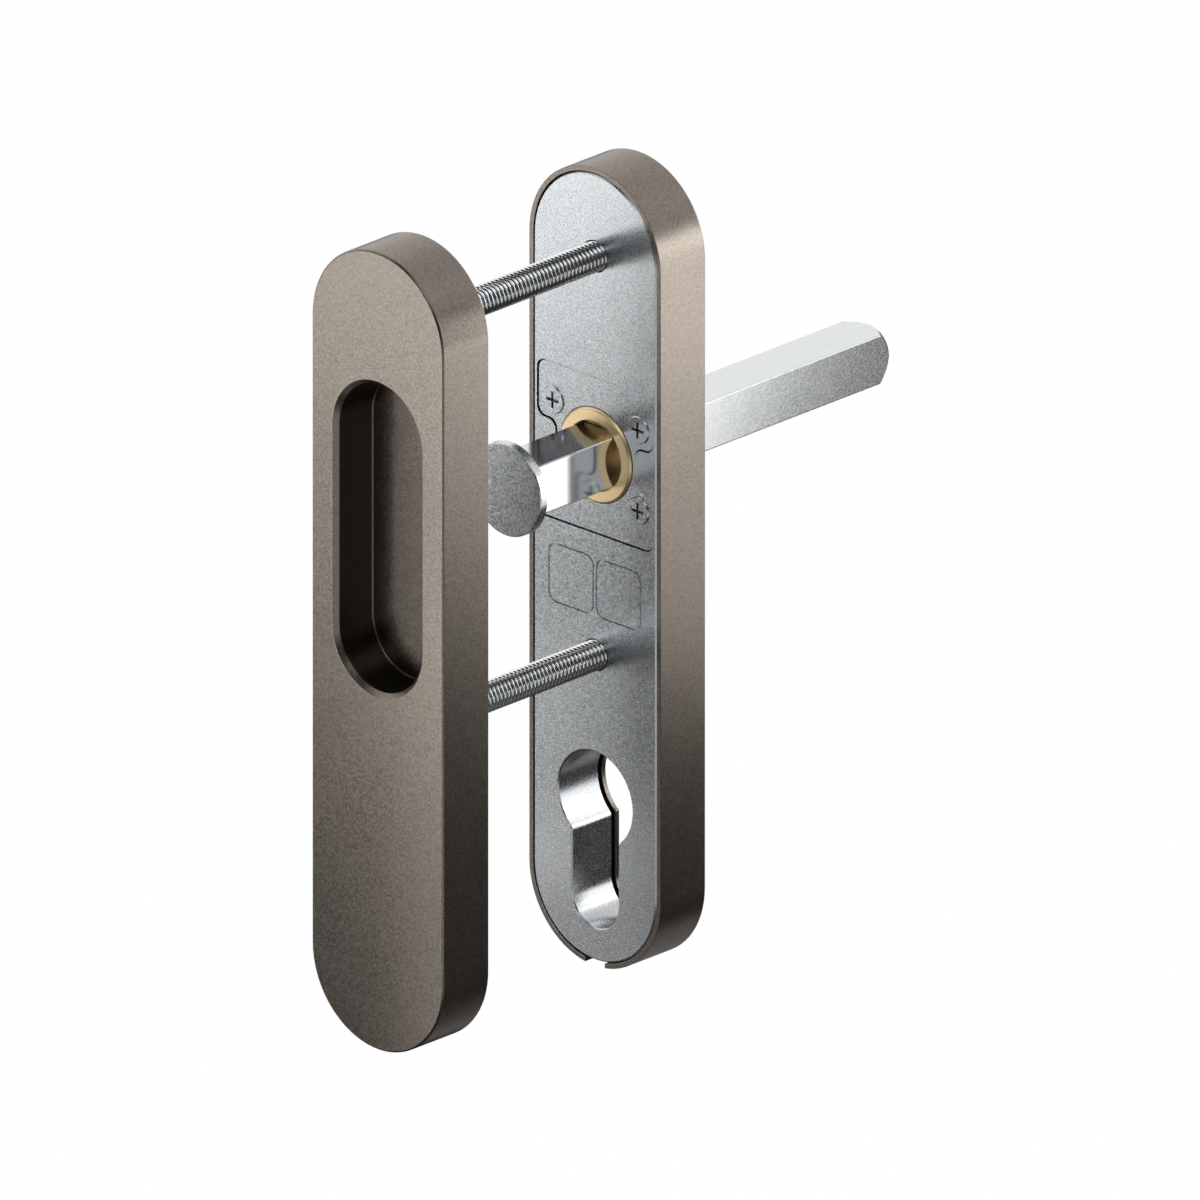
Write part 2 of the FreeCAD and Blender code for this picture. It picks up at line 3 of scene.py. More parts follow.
import bpy
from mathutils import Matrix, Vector


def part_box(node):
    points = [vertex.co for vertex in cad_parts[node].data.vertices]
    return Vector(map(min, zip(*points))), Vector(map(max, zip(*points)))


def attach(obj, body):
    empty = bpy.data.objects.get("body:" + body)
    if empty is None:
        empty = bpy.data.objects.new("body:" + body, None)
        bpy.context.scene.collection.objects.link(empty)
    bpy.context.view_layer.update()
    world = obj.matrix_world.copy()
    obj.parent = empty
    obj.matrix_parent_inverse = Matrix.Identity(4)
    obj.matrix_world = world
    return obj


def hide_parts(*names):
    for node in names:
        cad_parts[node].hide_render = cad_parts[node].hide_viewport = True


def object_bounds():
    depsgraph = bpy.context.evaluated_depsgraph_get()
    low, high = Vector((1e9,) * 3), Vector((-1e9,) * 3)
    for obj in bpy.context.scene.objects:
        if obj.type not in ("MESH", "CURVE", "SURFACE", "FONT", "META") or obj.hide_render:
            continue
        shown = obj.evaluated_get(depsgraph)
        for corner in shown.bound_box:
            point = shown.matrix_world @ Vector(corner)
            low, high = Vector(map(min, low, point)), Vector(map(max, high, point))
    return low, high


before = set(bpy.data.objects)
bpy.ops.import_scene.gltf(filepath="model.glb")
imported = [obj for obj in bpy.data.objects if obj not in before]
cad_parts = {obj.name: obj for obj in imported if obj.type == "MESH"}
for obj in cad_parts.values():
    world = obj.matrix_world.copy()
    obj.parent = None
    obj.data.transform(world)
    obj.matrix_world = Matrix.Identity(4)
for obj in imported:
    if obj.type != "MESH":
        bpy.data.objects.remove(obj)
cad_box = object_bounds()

bl_info = {
    "name": "Lift-and-slide door plates",
    "version": (1, 0, 0),
    "blender": (4, 5, 0),
    "location": "3D View > Sidebar > Door plates",
    "description": "Dresses a pair of patio door plates, their screws and their square spindle",
    "category": "Object",
}

# Sizes are in metres. X runs across the plates, Y from the outer plate through the door to the
# room, and Z up. The origin is on the spindle's axis, in the inner plate's door face.
MM = 0.001
SMALL = 1e-5

UPRIGHT = Vector((0.0, 0.0, 1.0))
FRONT_FACE = Vector((0.0, -1.0, 0.0))
SIDE_FACE = Vector((1.0, 0.0, 0.0))

# Where the painted shade inside the sunk grip starts and ends below the cover's face, how soon it
# fades at the sides, and where the spindle's free end turns satin
GRIP_SHADE_START = 0.4 * MM
GRIP_SHADE_END = 2.0 * MM
SHADE_BLEND = 1.0 * MM
SATIN_START = 14.0 * MM

# Facets round a turned piece and round the thread. The thread's outline gives how far each point
# lies below the crest and along one turn, both as shares of the pitch.
ROUND_STEPS = 64
THREAD_STEPS = 36
THREAD_OUTLINE = (
    (0.55, 0.0), (0.55, 0.2), (0.16, 0.42), (0.05, 0.5),
    (0.0, 0.6), (0.05, 0.7), (0.16, 0.78), (0.55, 1.0))

# The floor's width, its glow to the camera, and how much of the glow the camera and mirrors see
FLOOR_WIDTH = 12.0
FLOOR_GLOW = 1.04
GLOW_SEEN = 0.92
GLOW_MIRRORED = 0.25

# Where the view's centre lies from the origin, and how far off the camera stands
VIEW_RIGHT = 0.955 * MM
VIEW_DROP = 26.894 * MM
CAMERA_DISTANCE = 0.6
CLIP_START = 0.01
CLIP_END = 20.0

# Lamps that the front faces mirror to the camera: the point of the face, the distance from it,
# the shift across and up, the lamp's width and height, and its brightness
FRONT_AIM = (0.0, -0.04, 0.0)
FRONT_LAMPS = (
    ("front_upper_lamp", FRONT_AIM, 0.33, -0.085, 0.08, 0.24, 0.06, 2.5),
    ("front_right_lamp", FRONT_AIM, 0.33, -0.13, 0.015, 0.15, 0.06, 6.6),
    ("front_middle_lamp", FRONT_AIM, 0.33, 0.045, 0.03, 0.06, 0.05, 0.9),
    ("front_left_lamp", FRONT_AIM, 0.33, 0.12, 0.01, 0.12, 0.12, 1.65),
    ("front_right_foot_lamp", FRONT_AIM, 0.33, -0.13, -0.10, 0.12, 0.05, 0.8),
)
SIDE_AIM = (0.01, -0.01, 0.0)
SIDE_LAMPS = (
    ("side_upper_lamp", SIDE_AIM, 0.20, 0.0, 0.13, 0.07, 0.06, 3.6),
    ("side_lamp", SIDE_AIM, 0.20, 0.0, 0.065, 0.07, 0.07, 2.9),
    ("side_low_lamp", SIDE_AIM, 0.20, -0.003, 0.0, 0.052, 0.06, 1.7),
    ("side_left_lamp", SIDE_AIM, 0.20, -0.07, 0.12, 0.07, 0.08, 1.5),
    ("side_end_lamp", SIDE_AIM, 0.20, -0.09, 0.01, 0.08, 0.08, 0.12),
    ("side_right_lamp", SIDE_AIM, 0.20, 0.07, 0.04, 0.07, 0.08, 1.4),
)
CLOSE_LAMPS = (
    ("near_foot_lamp", (0.027, -0.058, -0.06), 0.07, 0.0, 0.0, 0.025, 0.11, 0.6),
    ("foot_lamp", (0.0, 0.0, -0.098), 0.085, 0.0, 0.0, 0.04, 0.05, 0.3),
    ("plate_lamp", (0.0, 0.0, -0.06), 0.1, 0.022, 0.0, 0.05, 0.05, 0.36),
)

# Lamps that stand by themselves: the way to them, their distance, size and brightness
FREE_LAMPS = (
    ("near_lamp", (0.66, -0.64, -0.37), 0.37, 0.25, 0.65),
    ("high_lamp", (0.42, -0.5, 0.75), 0.45, 0.25, 1.4),
)
UNDER_PLACE = (0.0, 0.09, -0.175)
UNDER_WAY = Vector((-0.38, 0.67, -0.64))
UNDER_WIDTH = 0.12
UNDER_BRIGHTNESS = 0.22

# Dark cards: their place, the way that they face, their width and height
DARK_CARDS = (
    ("low_card", (0.0, 0.0, cad_box[0].z - 0.12), UPRIGHT, 3.0, 3.0),
    ("front_card", (0.0, -0.9, 0.5), FRONT_FACE, 2.4, 1.6),
    ("side_card", (0.9, 0.0, 0.5), SIDE_FACE, 1.6, 2.4),
    ("top_card", (0.35, -0.25, 0.8), UPRIGHT, 1.3, 1.5),
)


# What a user may change

class PlateSizes(bpy.types.PropertyGroup):
    """Sizes of the fine forms that the finished pieces have."""

    cover_edge: bpy.props.FloatProperty(
        name="Cover edge", description="Radius that eases the covers' edges",
        default=0.09 * MM, min=0.0, unit="LENGTH", subtype="DISTANCE")
    casting_edge: bpy.props.FloatProperty(
        name="Casting edge", description="Radius that eases the castings' edges",
        default=0.07 * MM, min=0.0, unit="LENGTH", subtype="DISTANCE")
    grip_width: bpy.props.FloatProperty(
        name="Grip width", description="Width of the sunk finger grip",
        default=21.4 * MM, min=0.0, unit="LENGTH", subtype="DISTANCE")
    grip_height: bpy.props.FloatProperty(
        name="Grip height", description="Height of the sunk finger grip",
        default=61.4 * MM, min=0.0, unit="LENGTH", subtype="DISTANCE")
    grip_rise: bpy.props.FloatProperty(
        name="Grip rise", description="Distance from the plates' middle up to the grip's middle",
        default=22.4 * MM, min=0.0, unit="LENGTH", subtype="DISTANCE")
    bearing_edge: bpy.props.FloatProperty(
        name="Bearing plate edge", description="Radius that eases the bearing plate's edges",
        default=0.26 * MM, min=0.0, unit="LENGTH", subtype="DISTANCE")
    turned_edge: bpy.props.FloatProperty(
        name="Turned edge", description="Radius that eases the edges of turned and ground pieces",
        default=0.06 * MM, min=0.0, unit="LENGTH", subtype="DISTANCE")
    thread_crest: bpy.props.FloatProperty(
        name="Thread radius", description="Radius over the crests of the fixing screws' thread",
        default=2.95 * MM, min=0.0, unit="LENGTH", subtype="DISTANCE")
    thread_pitch: bpy.props.FloatProperty(
        name="Thread pitch", description="Advance of the fixing screws' thread in one turn",
        default=1.0 * MM, min=0.0, unit="LENGTH", subtype="DISTANCE")
    screw_head_height: bpy.props.FloatProperty(
        name="Screw head height", description="Height of the fixing screws' cylinder heads",
        default=4.0 * MM, min=0.0, unit="LENGTH", subtype="DISTANCE")
    screw_head_ease: bpy.props.FloatProperty(
        name="Screw head ease", description="Chamfer round the fixing screws' heads",
        default=0.3 * MM, min=0.0, unit="LENGTH", subtype="DISTANCE")
    screw_tip_chamfer: bpy.props.FloatProperty(
        name="Screw tip chamfer", description="Chamfer at the fixing screws' tips",
        default=0.6 * MM, min=0.0, unit="LENGTH", subtype="DISTANCE")
    socket_width: bpy.props.FloatProperty(
        name="Socket width", description="Hexagon socket's width across its flats",
        default=4.0 * MM, min=0.0, unit="LENGTH", subtype="DISTANCE")
    socket_depth: bpy.props.FloatProperty(
        name="Socket depth", description="Hexagon socket's depth",
        default=2.2 * MM, min=0.0, unit="LENGTH", subtype="DISTANCE")
    small_head_radius: bpy.props.FloatProperty(
        name="Small head radius", description="Radius of the small screws' heads",
        default=2.75 * MM, min=0.0, unit="LENGTH", subtype="DISTANCE")
    small_shank_radius: bpy.props.FloatProperty(
        name="Small shank radius", description="Radius of the small screws' shanks",
        default=1.45 * MM, min=0.0, unit="LENGTH", subtype="DISTANCE")
    small_head_ease: bpy.props.FloatProperty(
        name="Small head ease", description="Chamfer round the small screws' heads",
        default=0.2 * MM, min=0.0, unit="LENGTH", subtype="DISTANCE")
    cross_span: bpy.props.FloatProperty(
        name="Cross span", description="Length of each slot of the cross recess",
        default=3.3 * MM, min=0.0, unit="LENGTH", subtype="DISTANCE")
    cross_blade: bpy.props.FloatProperty(
        name="Cross blade", description="Width of each slot of the cross recess",
        default=0.58 * MM, min=0.0, unit="LENGTH", subtype="DISTANCE")
    cross_depth: bpy.props.FloatProperty(
        name="Cross depth", description="Depth of the cross recess",
        default=1.1 * MM, min=0.0, unit="LENGTH", subtype="DISTANCE")
    panel_width: bpy.props.FloatProperty(
        name="Panel width", description="Width of each plain panel outlined on the casting",
        default=11.4 * MM, min=0.0, unit="LENGTH", subtype="DISTANCE")
    panel_height: bpy.props.FloatProperty(
        name="Panel height", description="Height of each plain panel outlined on the casting",
        default=11.7 * MM, min=0.0, unit="LENGTH", subtype="DISTANCE")
    panel_gap: bpy.props.FloatProperty(
        name="Panel gap", description="Space between the two outlined panels",
        default=0.9 * MM, min=0.0, unit="LENGTH", subtype="DISTANCE")
    panel_drop: bpy.props.FloatProperty(
        name="Panel drop", description="Distance from the spindle's axis down to the panels' top",
        default=20.4 * MM, min=0.0, unit="LENGTH", subtype="DISTANCE")
    panel_corner: bpy.props.FloatProperty(
        name="Panel corner", description="Corner radius of the outlined panels",
        default=2.0 * MM, min=0.0, unit="LENGTH", subtype="DISTANCE")
    disc_thickness: bpy.props.FloatProperty(
        name="Disc thickness", description="Thickness of the spindle's stop disc",
        default=2.0 * MM, min=0.0, unit="LENGTH", subtype="DISTANCE")
    line_width: bpy.props.FloatProperty(
        name="Engraved line", description="Width of the plain lines engraved in the casting",
        default=0.36 * MM, min=0.0, unit="LENGTH", subtype="DISTANCE")
    line_depth: bpy.props.FloatProperty(
        name="Engraved depth", description="Depth of the plain lines engraved in the casting",
        default=0.34 * MM, min=0.0, unit="LENGTH", subtype="DISTANCE")


class PlateColours(bpy.types.PropertyGroup):
    """Colours of the finishes."""

    bronze: bpy.props.FloatVectorProperty(
        name="Bronze", description="Matte metallic bronze of both covers",
        default=(0.25, 0.217, 0.186), min=0.0, max=1.0, subtype="COLOR")
    zinc: bpy.props.FloatVectorProperty(
        name="Zinc", description="Satin die-cast zinc of the base and bearing plates",
        default=(0.56, 0.575, 0.59), min=0.0, max=1.0, subtype="COLOR")
    steel: bpy.props.FloatVectorProperty(
        name="Steel", description="Bright steel of the spindle and the screws",
        default=(0.78, 0.80, 0.815), min=0.0, max=1.0, subtype="COLOR")
    brass: bpy.props.FloatVectorProperty(
        name="Brass", description="Turned brass of the rotor",
        default=(0.92, 0.71, 0.41), min=0.0, max=1.0, subtype="COLOR")
    polymer: bpy.props.FloatVectorProperty(
        name="Polymer", description="Black sliding polymer of the bush and the ring",
        default=(0.022, 0.022, 0.024), min=0.0, max=1.0, subtype="COLOR")


class StageSettings(bpy.types.PropertyGroup):
    """The pale floor, the light and the camera."""

    floor_drop: bpy.props.FloatProperty(
        name="Floor drop", description="Distance from the plates' foot down to the floor",
        default=0.30, min=0.0, unit="LENGTH", subtype="DISTANCE")
    floor_tone: bpy.props.FloatProperty(
        name="Floor tone", description="How pale the floor is",
        default=0.8, min=0.0, max=1.0, subtype="FACTOR")
    room_light: bpy.props.FloatProperty(
        name="Room light", description="Strength of the even light from all round",
        default=0.6, min=0.0)
    card_tone: bpy.props.FloatProperty(
        name="Card tone", description="How pale the dark cards are that only metal reflects",
        default=0.04, min=0.0, max=1.0, subtype="FACTOR")
    camera_azimuth: bpy.props.FloatProperty(
        name="Camera azimuth", description="Turn of the camera round the plates",
        default=math.radians(43.975), subtype="ANGLE")
    camera_elevation: bpy.props.FloatProperty(
        name="Camera elevation", description="Height of the camera above the horizon",
        default=math.radians(21.873), subtype="ANGLE")
    camera_width: bpy.props.FloatProperty(
        name="View width", description="Width of what the camera takes in",
        default=223.46 * MM, min=0.0, unit="LENGTH", subtype="DISTANCE")


def sizes():
    return bpy.context.scene.plate_sizes


def colours():
    return bpy.context.scene.plate_colours


# Shader arithmetic

class Reading:
    """A number read over a surface. Arithmetic on it adds maths nodes."""

    def __init__(self, finish, socket):
        self.finish = finish
        self.socket = socket

    def maths(self, operation, first, second):
        return self.finish.node("ShaderNodeMath", {"operation": operation}, {0: first, 1: second})

    def __add__(self, other):
        return self.maths("ADD", self, other)

    def __radd__(self, other):
        return self.maths("ADD", other, self)

    def __sub__(self, other):
        return self.maths("SUBTRACT", self, other)

    def __rsub__(self, other):
        return self.maths("SUBTRACT", other, self)

    def __mul__(self, other):
        return self.maths("MULTIPLY", self, other)

    def __rmul__(self, other):
        return self.maths("MULTIPLY", other, self)


class Finish:
    """The nodes of one finish, with one call that adds any node."""

    def __init__(self, tree):
        self.tree = tree
        self.tree.nodes.clear()

    def node(self, kind, settings=None, values=None, output=0):
        """Adds a node, sets it up, fills or links its sockets and reads one output."""
        node = self.tree.nodes.new(kind)
        for name, setting in (settings or {}).items():
            setattr(node, name, setting)
        for name, value in (values or {}).items():
            if isinstance(value, Reading):
                self.tree.links.new(value.socket, node.inputs[name])
            else:
                node.inputs[name].default_value = value
        return Reading(self, node.outputs[output]) if len(node.outputs) else None

    def place(self):
        """Where a point of the surface is, in the piece's own frame."""
        return self.node("ShaderNodeTexCoord", output="Object")

    def along(self, axis):
        return self.node("ShaderNodeSeparateXYZ", values={"Vector": self.place()}, output=axis)

    def stretched(self, scale):
        return self.node("ShaderNodeMapping", values={"Vector": self.place(), "Scale": scale})

    def cloud(self, size, detail=2.0, roughness=0.5, stretch=(1.0, 1.0, 1.0)):
        """Uneven tone from 0 to 1, in patches of about the given size."""
        place = self.stretched(stretch)
        values = {"Vector": place, "Scale": 1.0 / size, "Detail": detail, "Roughness": roughness}
        return self.node("ShaderNodeTexNoise", values=values)

    def speckle(self, size):
        """A tone from 0 to 1 that changes at random from one fine grain to the next."""
        values = {"Vector": self.place(), "Scale": 1.0 / size}
        colour = self.node("ShaderNodeTexVoronoi", values=values, output="Color")
        return self.node("ShaderNodeSeparateColor", values={"Color": colour}, output="Red")

    def step(self, reading, start, end):
        """0 before start and 1 after end, with a soft change between."""
        settings = {"interpolation_type": "SMOOTHSTEP"}
        return self.node("ShaderNodeMapRange", settings, {0: reading, 1: start, 2: end, 3: 0.0, 4: 1.0})

    def tinted(self, colour, tone):
        """A colour made lighter or darker by a reading about 1."""
        grey = self.node("ShaderNodeCombineColor", values={0: tone, 1: tone, 2: tone})
        settings = {"data_type": "RGBA", "blend_type": "MULTIPLY"}
        return self.node("ShaderNodeMix", settings, {0: 1.0, 6: (*colour, 1.0), 7: grey}, output=2)

    def relief(self, height, depth, strength):
        values = {"Height": height, "Distance": depth, "Strength": strength}
        return self.node("ShaderNodeBump", values=values)

    def surface(self, values):
        shader = self.node("ShaderNodeBsdfPrincipled", values=values)
        self.node("ShaderNodeOutputMaterial", values={"Surface": shader})


def new_finish(name):
    material = bpy.data.materials.new(name)
    material.use_nodes = True
    return material, Finish(material.node_tree)


def bronze_finish():
    """Fine matte metallic bronze: an even tone with a fine sparkle, darkened by painted shade inside the
    sunk grip.
    """
    material, finish = new_finish("matte_bronze")
    grain = finish.speckle(0.27 * MM)
    drift = finish.cloud(9.0 * MM)
    # painted shade: the bronze's tone drops by up to 0.38 inside the sunk grip, standing in for the shade
    # that its walls cast
    tone = (0.74 + 0.46 * grain + 0.06 * drift) * (1 - 0.38 * painted_grip_shade(finish))
    finish.surface({
        "Base Color": finish.tinted(colours().bronze, tone),
        "Metallic": 1.0,
        "Roughness": 0.28 + 0.07 * grain,
        "Normal": finish.relief(grain, 0.006 * MM, 0.3),
    })
    return material


def painted_grip_shade(finish):
    """Painted shade: 1 inside the sunk grip of the outer cover, where it darkens the bronze, and 0
    elsewhere on both covers.
    """
    low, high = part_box("outer_cover")
    middle = (low.z + high.z) / 2 + sizes().grip_rise
    across = within(finish, finish.along("X"), sizes().grip_width / 2)
    upright = within(finish, finish.along("Z") - middle, sizes().grip_height / 2)
    deep = finish.step(finish.along("Y"), low.y + GRIP_SHADE_START, low.y + GRIP_SHADE_END)
    outer = 1 - finish.step(finish.along("Y"), high.y, high.y + SHADE_BLEND)
    return across * upright * deep * outer


def within(finish, offset, reach):
    """1 up to that reach either side of nought and 0 soon beyond it."""
    return 1 - finish.step(offset * offset, reach ** 2, (reach + SHADE_BLEND) ** 2)


def zinc_finish():
    """Satin die-cast zinc: a fine sandy grain and faint soft clouds."""
    material, finish = new_finish("die_cast_zinc")
    grain = 0.85 * finish.speckle(0.26 * MM) + 0.15 * finish.cloud(0.6 * MM, roughness=0.7)
    clouds = finish.cloud(8.0 * MM, detail=3.0)
    tone = 0.84 + 0.34 * grain + 0.06 * clouds
    finish.surface({
        "Base Color": finish.tinted(colours().zinc, tone),
        "Metallic": 1.0,
        "Roughness": 0.2 + 0.1 * grain + 0.03 * clouds,
        "Normal": finish.relief(grain, 0.011 * MM, 0.6),
    })
    return material


def ground_steel_finish():
    """Ground steel of the spindle: bright beside the disc, satin on the free end, grained on the disc."""
    material, finish = new_finish("ground_steel")
    disc_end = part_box("square_spindle")[0].y + sizes().disc_thickness
    depth = finish.along("Y")
    free_end = finish.step(depth, 0.0, SATIN_START)
    disc = 1 - finish.step(depth, disc_end + 0.1 * MM, disc_end + 0.3 * MM)
    grain = 0.5 * finish.speckle(0.34 * MM) + 0.5 * finish.cloud(0.5 * MM, roughness=0.7)
    lines = finish.cloud(0.5 * MM, detail=3.0, stretch=(1.0, 0.03, 1.0))
    tone = 0.96 + disc * (0.7 * grain - 0.44) + free_end * (0.12 * grain + 0.12 * lines - 0.12)
    finish.surface({
        "Base Color": finish.tinted(colours().steel, tone),
        "Metallic": 1.0,
        "Roughness": 0.13 + disc * (0.07 + 0.12 * grain) + free_end * (0.07 + 0.1 * grain),
        "Normal": finish.relief(grain * (0.6 * disc + 0.4 * free_end), 0.016 * MM, 0.5),
    })
    return material


def bright_steel_finish():
    """Bright zinc-plated steel of the screws and posts."""
    material, finish = new_finish("bright_steel")
    grain = finish.cloud(0.5 * MM, detail=3.0)
    finish.surface({
        "Base Color": finish.tinted(colours().steel, 1.06 + 0.12 * grain),
        "Metallic": 1.0,
        "Roughness": 0.1 + 0.08 * grain,
    })
    return material


def sheet_steel_finish():
    """Galvanised sheet of the carrier plate and the strip springs."""
    material, finish = new_finish("galvanised_sheet")
    spangle = finish.speckle(2.4 * MM)
    clouds = finish.cloud(3.0 * MM, detail=4.0, roughness=0.6)
    grain = finish.cloud(0.35 * MM)
    finish.surface({
        "Base Color": finish.tinted(colours().steel, 0.66 + 0.12 * spangle + 0.16 * clouds + 0.14 * grain),
        "Metallic": 1.0,
        "Roughness": 0.26 + 0.1 * clouds + 0.08 * spangle,
        "Normal": finish.relief(grain, 0.008 * MM, 0.5),
    })
    return material


def brass_finish():
    """Turned brass: a satin grain with fine turning rings."""
    material, finish = new_finish("turned_brass")
    grain = 0.5 * finish.speckle(0.3 * MM) + 0.5 * finish.cloud(0.5 * MM, detail=3.0)
    rings = finish.cloud(0.3 * MM, detail=1.0, stretch=(0.04, 1.0, 0.04))
    finish.surface({
        "Base Color": finish.tinted(colours().brass, 0.92 + 0.1 * grain + 0.05 * rings),
        "Metallic": 1.0,
        "Roughness": 0.32 + 0.1 * grain,
        "Normal": finish.relief(rings, 0.006 * MM, 0.4),
    })
    return material


def polymer_finish():
    """Moulded black polymer with a faint matte grain."""
    material, finish = new_finish("sliding_polymer")
    grain = finish.cloud(0.25 * MM)
    finish.surface({
        "Base Color": finish.tinted(colours().polymer, 0.85 + 0.3 * grain),
        "Roughness": 0.4 + 0.14 * grain,
        "Normal": finish.relief(grain, 0.01 * MM, 0.5),
    })
    return material


FINISHES = {
    "matte_bronze": bronze_finish,
    "die_cast_zinc": zinc_finish,
    "ground_steel": ground_steel_finish,
    "bright_steel": bright_steel_finish,
    "galvanised_sheet": sheet_steel_finish,
    "turned_brass": brass_finish,
    "sliding_polymer": polymer_finish,
}


def finish_named(name):
    """The finish of that name, made when it is first asked for."""
    return bpy.data.materials.get(name) or FINISHES[name]()


# Modelling steps

def deselect_all():
    if bpy.context.mode != "OBJECT":
        bpy.ops.object.mode_set(mode="OBJECT")
    bpy.ops.object.select_all(action="DESELECT")


def make_active(piece):
    deselect_all()
    piece.select_set(True)
    bpy.context.view_layer.objects.active = piece


def edit(piece, mode="VERT"):
    """Opens a piece for editing with nothing selected."""
    make_active(piece)
    bpy.ops.object.mode_set(mode="EDIT")
    bpy.ops.mesh.select_mode(type=mode)
    bpy.ops.mesh.select_all(action="DESELECT")


def leave_edit():
    bpy.ops.object.mode_set(mode="OBJECT")


def pick(piece, kind, wanted):
    """Selects the vertices, edges or faces that pass a test, from within edit mode."""
    bpy.ops.object.mode_set(mode="OBJECT")
    for part in getattr(piece.data, kind):
        part.select = wanted(part)
    bpy.ops.object.mode_set(mode="EDIT")


def apply_modifier(piece, kind, **settings):
    make_active(piece)
    bpy.ops.object.modifier_add(type=kind)
    modifier = piece.modifiers[-1]
    for name, setting in settings.items():
        setattr(modifier, name, setting)
    bpy.ops.object.modifier_apply(modifier=modifier.name)


def settle(piece):
    """Puts a piece's place into its mesh, so that the object itself stays at the origin."""
    make_active(piece)
    bpy.ops.object.transform_apply(location=True, rotation=True, scale=True)


def face_outwards(piece):
    edit(piece)
    bpy.ops.mesh.select_all(action="SELECT")
    bpy.ops.mesh.remove_doubles(threshold=SMALL / 2)
    bpy.ops.mesh.normals_make_consistent(inside=False)
    leave_edit()


def ease_edges(piece, radius, segments=2, angle=28.0):
    """Rounds every edge that is sharper than the angle."""
    apply_modifier(
        piece, "BEVEL", width=radius, segments=segments, limit_method="ANGLE",
        angle_limit=math.radians(angle), harden_normals=False, miter_outer="MITER_ARC")


def smooth_rounds(piece, angle=40.0):
    """Smooth shading on rounds, with flat faces kept flat."""
    make_active(piece)
    bpy.ops.object.shade_smooth_by_angle(angle=math.radians(angle))
    apply_modifier(piece, "WEIGHTED_NORMAL", keep_sharp=True, weight=90)


def combine(piece, other, operation):
    """Cuts, trims or joins a piece with another one, which is then removed."""
    apply_modifier(piece, "BOOLEAN", operation=operation, solver="EXACT", object=other)
    bpy.data.objects.remove(other)


def merge_flats(piece):
    """Joins facets that lie in one plane, so that flat faces shade flat up to their edges."""
    edit(piece)
    bpy.ops.mesh.select_all(action="SELECT")
    bpy.ops.mesh.dissolve_limited(angle_limit=math.radians(0.2))
    leave_edit()


def solid_copy(node, name):
    """A copy of a solid's loose facets, merged into whole faces, ready for finishing."""
    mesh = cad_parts[node].data.copy()
    mesh.materials.clear()
    piece = bpy.data.objects.new(name, mesh)
    bpy.context.scene.collection.objects.link(piece)
    edit(piece)
    bpy.ops.mesh.customdata_custom_splitnormals_clear()
    bpy.ops.mesh.select_all(action="SELECT")
    bpy.ops.mesh.remove_doubles(threshold=SMALL / 10)
    bpy.ops.mesh.mark_sharp(clear=True)
    leave_edit()
    merge_flats(piece)
    return piece


def swept(name, profile, z, steps, pitch=0.0, turns=1):
    """(radius, y) points swept round an axis along Y at height z, as full turns or as a helix."""
    mesh = bpy.data.meshes.new(name)
    points = [(radius, y, 0.0) for radius, y in profile]
    mesh.from_pydata(points, [(i, i + 1) for i in range(len(points) - 1)], [])
    piece = bpy.data.objects.new(name, mesh)
    bpy.context.scene.collection.objects.link(piece)
    apply_modifier(
        piece, "SCREW", axis="Y", angle=math.tau, steps=steps, render_steps=steps, iterations=turns,
        screw_offset=pitch, use_merge_vertices=True, merge_threshold=SMALL)
    piece.location = (0.0, 0.0, z)
    settle(piece)
    return piece


def turned(name, profile, z=0.0):
    """A solid turned from (radius, y) points that start and end on the axis."""
    piece = swept(name, profile, z, ROUND_STEPS)
    face_outwards(piece)
    return piece


def finished(piece, finish, slot, body, *nodes):
    """Gives a piece its finish, its body and the solids that it stands for."""
    piece.data.materials.clear()
    piece.data.materials.append(finish_named(finish))
    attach(piece, body)
    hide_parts(*nodes)


def dressed_solid(node, finish, slot, body, radius, name):
    """A solid with eased edges and its finish."""
    piece = solid_copy(node, name)
    ease_edges(piece, radius)
    smooth_rounds(piece)
    finished(piece, finish, slot, body, node)
    return piece


# Pieces

class PLATES_OT_covers(bpy.types.Operator):
    """Dresses the two bronze covers, with finely eased edges"""
    bl_idname = "plates.covers"
    bl_label = "Covers"

    def execute(self, context):
        for node in ("outer_cover", "inner_cover"):
            dressed_solid(node, "matte_bronze", "cover_bronze", "plates",
                          sizes().cover_edge, node + "_shell")
        return {"FINISHED"}


class PLATES_OT_castings(bpy.types.Operator):
    """Dresses the base plate and the bearing plate, with plain engraved panels"""
    bl_idname = "plates.castings"
    bl_label = "Castings"

    def execute(self, context):
        dressed_solid("bearing_plate", "die_cast_zinc", "base_zinc", "plates",
                      sizes().bearing_edge, "bearing_plate_face")
        plate = solid_copy("inner_base_plate", "base_plate_casting")
        ease_edges(plate, sizes().casting_edge)
        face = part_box("inner_base_plate")[0].y
        across = (sizes().panel_width + sizes().panel_gap) / 2
        for x in (-across, across):
            engrave_panel(plate, x, face)
        smooth_rounds(plate)
        finished(plate, "die_cast_zinc", "base_zinc", "plates", "inner_base_plate")
        return {"FINISHED"}


def engrave_panel(plate, x, face):
    """Cuts a thin groove along the outline of a plain rounded panel centred at x."""
    half = sizes().line_width / 2
    ring = rounded_block("panel_outline", x, face, half)
    combine(ring, rounded_block("panel_inside", x, face, -half), "DIFFERENCE")
    combine(plate, ring, "DIFFERENCE")


